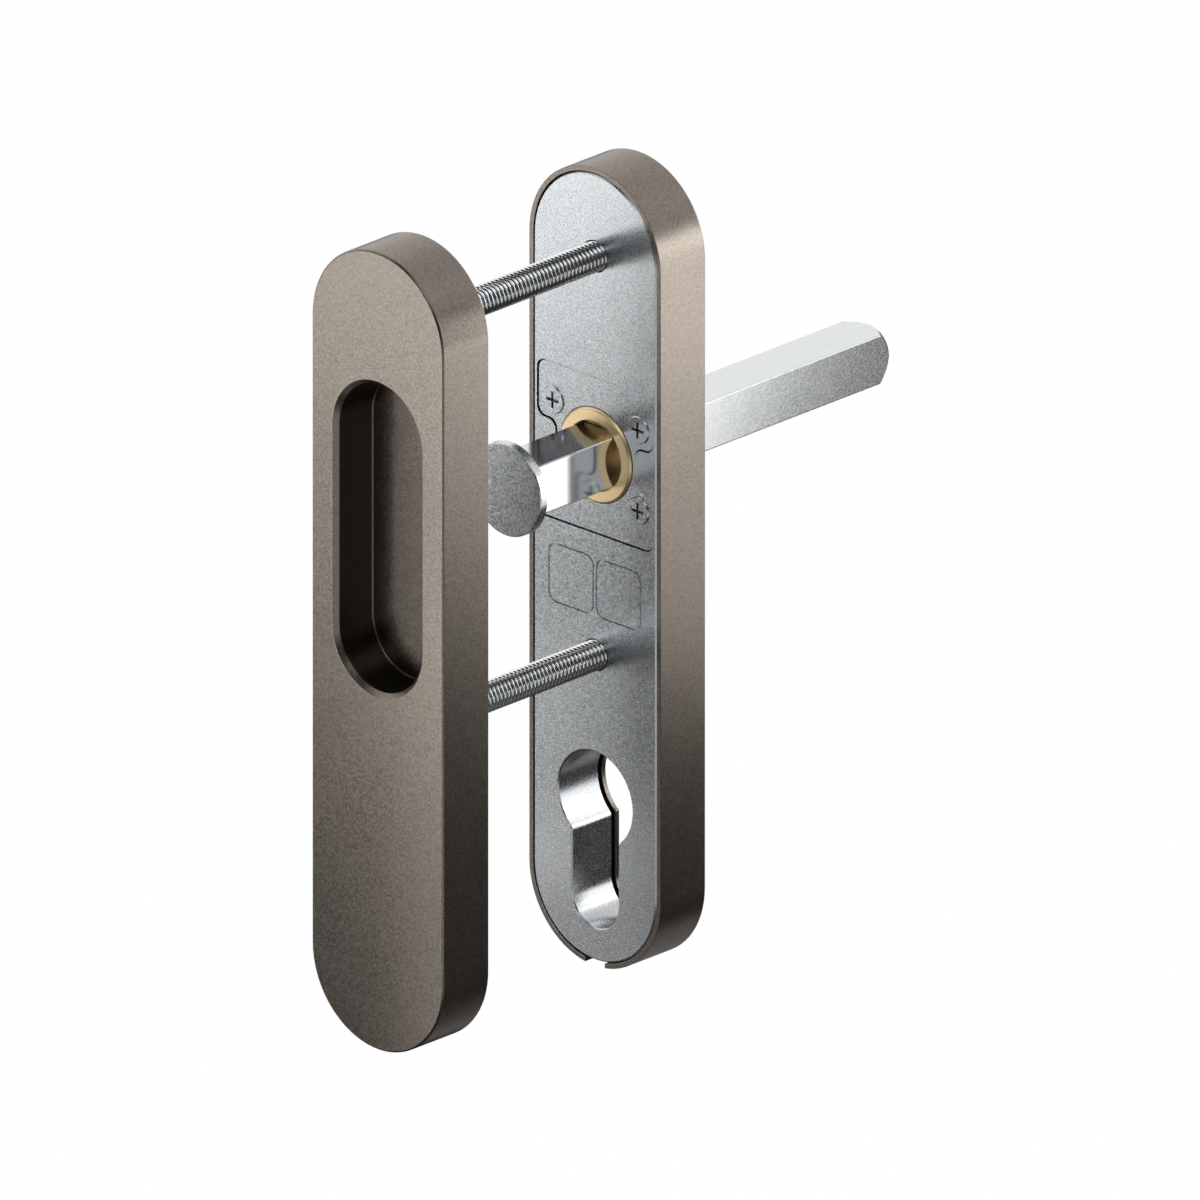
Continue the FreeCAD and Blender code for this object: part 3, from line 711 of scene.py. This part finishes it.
def rounded_block(name, x, face, grow):
    """A block with round corners that reaches line_depth into the face, grown by an even width."""
    panel = sizes()
    z = -panel.panel_drop - panel.panel_height / 2
    bpy.ops.mesh.primitive_cube_add(size=1.0, location=(x, face, z))
    block = bpy.context.object
    block.name = name
    reach = 2 * panel.line_depth if grow > 0 else 4 * panel.line_depth
    block.scale = (panel.panel_width + 2 * grow, reach, panel.panel_height + 2 * grow)
    settle(block)
    edit(block, "EDGE")
    mesh = block.data
    pick(block, "edges", lambda edge: runs_along_y(mesh, edge))
    bpy.ops.mesh.bevel(offset=panel.panel_corner + grow, segments=6, affect="EDGES")
    leave_edit()
    return block


def runs_along_y(mesh, edge):
    start, end = (mesh.vertices[index].co for index in edge.vertices)
    return abs(start.x - end.x) < SMALL and abs(start.z - end.z) < SMALL


class PLATES_OT_fixing_screws(bpy.types.Operator):
    """Models the two long screws with their real thread"""
    bl_idname = "plates.fixing_screws"
    bl_label = "Fixing screws"

    def execute(self, context):
        for node in ("upper_fixing_screw", "lower_fixing_screw"):
            low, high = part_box(node)
            fixing_screw(node, low, high)
        return {"FINISHED"}


def fixing_screw(node, low, high):
    """One screw: a helical thread trimmed by a chamfered bar, and a head with a hexagon socket."""
    z = (low.z + high.z) / 2
    head_radius = (high.x - low.x) / 2
    seat = high.y - sizes().screw_head_height
    crest = sizes().thread_crest
    chamfer = sizes().screw_tip_chamfer
    beyond = 0.1 * MM
    piece = thread(node + "_thread", low.y - sizes().thread_pitch, seat + sizes().thread_pitch, z)
    envelope = turned(node + "_envelope", [
        (0.0, low.y), (crest - chamfer, low.y), (crest + beyond, low.y + chamfer + beyond),
        (crest + beyond, seat + SMALL), (0.0, seat + SMALL)], z)
    combine(piece, envelope, "INTERSECT")
    ease = sizes().screw_head_ease
    brow = ease * 0.3
    head = turned(node + "_head", [
        (0.0, seat), (head_radius, seat), (head_radius, high.y - ease),
        (head_radius - brow, high.y - brow), (head_radius - ease, high.y), (0.0, high.y)], z)
    bpy.ops.mesh.primitive_cylinder_add(
        vertices=6, radius=sizes().socket_width / math.sqrt(3), depth=sizes().socket_depth * 2,
        location=(0.0, high.y, z), rotation=(math.pi / 2, 0.0, 0.0))
    socket = bpy.context.object
    settle(socket)
    combine(head, socket, "DIFFERENCE")
    combine(piece, head, "UNION")
    piece.name = node + "_threaded"
    smooth_rounds(piece, 50.0)
    finished(piece, "bright_steel", "fixing_screw_steel", "plates", node)


def thread(name, start, end, z):
    """A right-handed thread along Y, from one pitch of its outline swept as a helix."""
    pitch = sizes().thread_pitch
    crest = sizes().thread_crest
    profile = [(crest - below * pitch, start + along * pitch) for below, along in THREAD_OUTLINE]
    turns = math.ceil((end - start) / pitch)
    piece = swept(name, profile, z, THREAD_STEPS, pitch, turns)
    edit(piece, "EDGE")
    bpy.ops.mesh.select_all(action="SELECT")
    bpy.ops.mesh.remove_doubles(threshold=SMALL)
    bpy.ops.mesh.select_all(action="DESELECT")
    bpy.ops.mesh.select_non_manifold()
    bpy.ops.mesh.edge_face_add()
    bpy.ops.mesh.select_all(action="SELECT")
    bpy.ops.mesh.normals_make_consistent(inside=False)
    leave_edit()
    return piece


class PLATES_OT_small_screws(bpy.types.Operator):
    """Models the small screws of the bearing plate and the carrier plate"""
    bl_idname = "plates.small_screws"
    bl_label = "Small screws"

    def execute(self, context):
        low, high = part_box("bearing_plate_screws")
        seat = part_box("bearing_plate")[0].y - low.y
        inset = sizes().small_head_radius
        across = (low.x + inset, high.x - inset)
        levels = (low.z + inset, high.z - inset)
        screw = small_screw("bearing_screws", low.y, high.y - low.y, 1, seat)
        spread(screw, [(x, z) for x in across for z in levels])
        finished(screw, "die_cast_zinc", "screw_steel", "plates", "bearing_plate_screws")
        low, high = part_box("carrier_screws")
        screw = small_screw("carrier_plate_screws", high.y, high.y - low.y, -1, 0.0)
        spread(screw, [(0.0, low.z + inset), (0.0, high.z - inset)])
        finished(screw, "bright_steel", "screw_steel", "plates", "carrier_screws")
        return {"FINISHED"}


def small_screw(name, face, length, way, seat):
    """A small screw on the Y axis. Its head has a straight rim down to the seat, or is countersunk."""
    head = sizes().small_head_radius
    shank = sizes().small_shank_radius
    ease = sizes().small_head_ease
    neck = seat if seat > 0 else head - shank
    rim = [(head, face + way * seat)] if seat > 0 else []
    profile = [(0.0, face), (head - ease, face), (head, face + way * ease)]
    profile += rim + [(shank, face + way * neck), (shank, face + way * (length - shank / 2)),
                      (shank / 2, face + way * length), (0.0, face + way * length)]
    screw = turned(name, profile)
    combine(screw, cross_cutter(name + "_cross", face, way), "DIFFERENCE")
    merge_flats(screw)
    return screw


def cross_cutter(name, face, way):
    """Two crossed blades that narrow towards the bottom of the recess."""
    span = sizes().cross_span
    blade = sizes().cross_blade
    cutter = tapered_blade(name, face, way, span, blade)
    combine(cutter, tapered_blade(name + "_level", face, way, blade, span), "UNION")
    return cutter


def tapered_blade(name, face, way, width, height, taper=0.6):
    """A block through the head's face, with its inner end drawn in."""
    bpy.ops.mesh.primitive_cube_add(size=1.0, location=(0.0, face, 0.0))
    block = bpy.context.object
    block.name = name
    depth = sizes().cross_depth
    wide = 2 / (1 + taper)
    block.scale = (width * wide, 2 * depth, height * wide)
    settle(block)
    edit(block)
    pick(block, "vertices", lambda vertex: (vertex.co.y - face) * way > 0)
    bpy.ops.transform.resize(value=(taper, 1.0, taper), center_override=(0.0, face + way * depth, 0.0))
    leave_edit()
    return block


def spread(piece, places):
    """Copies a piece that is modelled on the Y axis to each (x, z) place and joins the copies."""
    copies = []
    for x, z in places[1:]:
        make_active(piece)
        bpy.ops.object.duplicate(linked=False)
        copy = bpy.context.object
        copy.location = (x, 0.0, z)
        settle(copy)
        copies.append(copy)
    piece.location = (places[0][0], 0.0, places[0][1])
    settle(piece)
    make_active(piece)
    for copy in copies:
        copy.select_set(True)
    bpy.ops.object.join()
    smooth_rounds(piece)


class PLATES_OT_rotor(bpy.types.Operator):
    """Dresses the brass rotor"""
    bl_idname = "plates.rotor"
    bl_label = "Rotor"

    def execute(self, context):
        dressed_solid("spindle_rotor", "turned_brass", "rotor_brass", "rotor",
                      sizes().turned_edge, "rotor_sleeve")
        return {"FINISHED"}


class PLATES_OT_spindle(bpy.types.Operator):
    """Dresses the square spindle and its stop disc"""
    bl_idname = "plates.spindle"
    bl_label = "Spindle"

    def execute(self, context):
        dressed_solid("square_spindle", "ground_steel", "spindle_steel", "spindle",
                      sizes().turned_edge, "spindle_bar")
        return {"FINISHED"}


class PLATES_OT_fittings(bpy.types.Operator):
    """Dresses the carrier plate, the posts, the bush, the ring and the springs"""
    bl_idname = "plates.fittings"
    bl_label = "Fittings"

    def execute(self, context):
        kinds = (
            ("outer_carrier_plate", "galvanised_sheet", "carrier_steel"),
            ("upper_threaded_post", "bright_steel", "post_steel"),
            ("lower_threaded_post", "bright_steel", "post_steel"),
            ("rotor_slide_ring", "sliding_polymer", "bush_polymer"),
            ("lever_guide_bush", "sliding_polymer", "bush_polymer"),
            ("upper_cover_spring", "galvanised_sheet", "spring_steel"),
            ("lower_cover_spring", "galvanised_sheet", "spring_steel"),
        )
        for node, finish, slot in kinds:
            dressed_solid(node, finish, slot, "plates",
                          sizes().turned_edge, node + "_dressed")
        return {"FINISHED"}


# Stage

def camera_axes(azimuth, elevation):
    """Directions to the camera's right, up and back."""
    right = Vector((math.cos(azimuth), math.sin(azimuth), 0.0))
    back = Vector((math.sin(azimuth) * math.cos(elevation), -math.cos(azimuth) * math.cos(elevation),
                   math.sin(elevation)))
    return right, back.cross(right), back


def glance(back, normal):
    """Where a face with this normal sends the camera's view."""
    return 2 * back.dot(normal) * normal - back


def beside(aim, way, distance, shift, rise):
    """A place that far along a direction, moved level across it and up."""
    across = way.cross(UPRIGHT).normalized()
    return Vector(aim) + way * distance + across * shift + UPRIGHT * rise


def soft_lamp(name, place, way, width, height, brightness):
    """A soft rectangular lamp that shines back along a direction, as bright as white at 1."""
    rotation = way.to_track_quat("Z", "Y").to_euler()
    bpy.ops.object.light_add(type="AREA", location=place, rotation=rotation)
    lamp = bpy.context.object
    lamp.name = name
    lamp.data.shape = "RECTANGLE"
    lamp.data.size = width
    lamp.data.size_y = height
    lamp.data.energy = math.pi * width * height * brightness
    lamp.visible_camera = False


def dark_card(name, place, way, width, height, tone):
    """A dark card that only metal reflects."""
    rotation = way.to_track_quat("Z", "Y").to_euler()
    bpy.ops.mesh.primitive_plane_add(size=1.0, location=place, rotation=rotation)
    card = bpy.context.object
    card.name = name
    card.scale = (width, height, 1.0)
    settle(card)
    for rays in ("camera", "diffuse", "transmission", "volume_scatter", "shadow"):
        setattr(card, "visible_" + rays, False)
    material, finish = new_finish(name + "_tone")
    shade = finish.node("ShaderNodeEmission", values={"Color": (tone, tone, tone, 1.0), "Strength": 1.0})
    finish.node("ShaderNodeOutputMaterial", values={"Surface": shade})
    card.data.materials.append(material)


def ray_kinds(finish):
    """Three readings, each 1 for its own rays: the camera's, those that metal mirrors, and glass's."""
    return [finish.node("ShaderNodeLightPath", output=name)
            for name in ("Is Camera Ray", "Is Glossy Ray", "Is Transmission Ray")]


class PLATES_OT_stage(bpy.types.Operator):
    """Sets the pale floor, the soft light, the white backdrop and the camera"""
    bl_idname = "plates.stage"
    bl_label = "Stage"

    def execute(self, context):
        settings = context.scene.plate_stage
        deselect_all()
        lay_floor(settings)
        light_room(settings)
        light_plates(settings)
        aim_camera(settings)
        context.scene.view_settings.view_transform = "Standard"
        return {"FINISHED"}


def lay_floor(settings):
    """A plain pale floor, white to the camera apart from the shadow on it."""
    height = cad_box[0].z - settings.floor_drop
    bpy.ops.mesh.primitive_plane_add(size=FLOOR_WIDTH, location=(0.0, 0.0, height))
    floor = bpy.context.object
    floor.name = "floor"
    settle(floor)
    material, finish = new_finish("pale_floor")
    tone = settings.floor_tone
    pale = finish.node("ShaderNodeBsdfDiffuse", values={"Color": (tone, tone, tone, 1.0)})
    glow = {"Color": (1.0, 1.0, 1.0, 1.0), "Strength": FLOOR_GLOW}
    white = finish.node("ShaderNodeEmission", values=glow)
    camera, glossy, through = ray_kinds(finish)
    share = GLOW_SEEN * camera + GLOW_MIRRORED * glossy + GLOW_SEEN * through
    shader = finish.node("ShaderNodeMixShader", values={0: share, 1: pale, 2: white})
    finish.node("ShaderNodeOutputMaterial", values={"Surface": shader})
    floor.data.materials.append(material)


def light_room(settings):
    """Even light from all round, and a white backdrop for the camera, metal and glass."""
    world = bpy.data.worlds.new("white_room")
    world.use_nodes = True
    bpy.context.scene.world = world
    finish = Finish(world.node_tree)
    camera, glossy, through = ray_kinds(finish)
    share = finish.node("ShaderNodeMath", {"operation": "MAXIMUM"}, {0: camera + glossy, 1: through})
    plain = (1.0, 1.0, 1.0, 1.0)
    even_light = {"Color": plain, "Strength": settings.room_light}
    even = finish.node("ShaderNodeBackground", values=even_light)
    white = finish.node("ShaderNodeBackground", values={"Color": plain, "Strength": 1.0})
    shader = finish.node("ShaderNodeMixShader", values={0: share, 1: even, 2: white})
    finish.node("ShaderNodeOutputWorld", values={"Surface": shader})


def light_plates(settings):
    """Soft lamps where the upright faces send the view, and dark cards in front, beside and above."""
    back = camera_axes(settings.camera_azimuth, settings.camera_elevation)[2]
    front = glance(back, FRONT_FACE)
    side = glance(back, SIDE_FACE)
    mirrored_lamps(FRONT_LAMPS, front)
    mirrored_lamps(SIDE_LAMPS, side)
    for name, way, distance, width, brightness in FREE_LAMPS:
        way = Vector(way).normalized()
        soft_lamp(name, way * distance, way, width, width, brightness)
    mirrored_lamps(CLOSE_LAMPS, front)
    soft_lamp("under_lamp", UNDER_PLACE, UNDER_WAY, UNDER_WIDTH, UNDER_WIDTH, UNDER_BRIGHTNESS)
    for name, place, way, width, height in DARK_CARDS:
        dark_card(name, place, way, width, height, settings.card_tone)


def mirrored_lamps(lamps, way):
    """Soft lamps that a face mirrors to the camera, along the way that the face sends the view."""
    for name, aim, distance, shift, rise, width, height, brightness in lamps:
        place = beside(aim, way, distance, shift, rise)
        soft_lamp(name, place, way, width, height, brightness)


def aim_camera(settings):
    """A camera without perspective, turned and framed as the plates are shown."""
    right, up, back = camera_axes(settings.camera_azimuth, settings.camera_elevation)
    place = right * VIEW_RIGHT - up * VIEW_DROP + back * CAMERA_DISTANCE
    rotation = back.to_track_quat("Z", "Y").to_euler()
    bpy.ops.object.camera_add(location=place, rotation=rotation)
    camera = bpy.context.object
    camera.data.type = "ORTHO"
    camera.data.ortho_scale = settings.camera_width
    camera.data.clip_start = CLIP_START
    camera.data.clip_end = CLIP_END
    bpy.context.scene.camera = camera


class PLATES_PT_sidebar(bpy.types.Panel):
    """Steps that dress the door plates"""
    bl_idname = "PLATES_PT_sidebar"
    bl_label = "Door plates"
    bl_space_type = "VIEW_3D"
    bl_region_type = "UI"
    bl_category = "Door plates"

    def draw(self, context):
        for group in ("plate_sizes", "plate_colours", "plate_stage"):
            box = self.layout.box()
            settings = getattr(context.scene, group)
            for name in settings.__annotations__:
                box.prop(settings, name)
        for step in STEPS:
            self.layout.operator(step.bl_idname)


STEPS = (
    PLATES_OT_covers,
    PLATES_OT_castings,
    PLATES_OT_fixing_screws,
    PLATES_OT_small_screws,
    PLATES_OT_rotor,
    PLATES_OT_spindle,
    PLATES_OT_fittings,
    PLATES_OT_stage,
)
GROUPS = {"plate_sizes": PlateSizes, "plate_colours": PlateColours, "plate_stage": StageSettings}


def register():
    for name, group in GROUPS.items():
        bpy.utils.register_class(group)
        setattr(bpy.types.Scene, name, bpy.props.PointerProperty(type=group))
    for step in STEPS:
        bpy.utils.register_class(step)
    bpy.utils.register_class(PLATES_PT_sidebar)


def unregister():
    bpy.utils.unregister_class(PLATES_PT_sidebar)
    for step in reversed(STEPS):
        bpy.utils.unregister_class(step)
    for name, group in GROUPS.items():
        delattr(bpy.types.Scene, name)
        bpy.utils.unregister_class(group)


def main():
    register()
    bpy.ops.plates.covers()
    bpy.ops.plates.castings()
    bpy.ops.plates.fixing_screws()
    bpy.ops.plates.small_screws()
    bpy.ops.plates.rotor()
    bpy.ops.plates.spindle()
    bpy.ops.plates.fittings()
    bpy.ops.plates.stage()


if __name__ == "__main__":
    main()
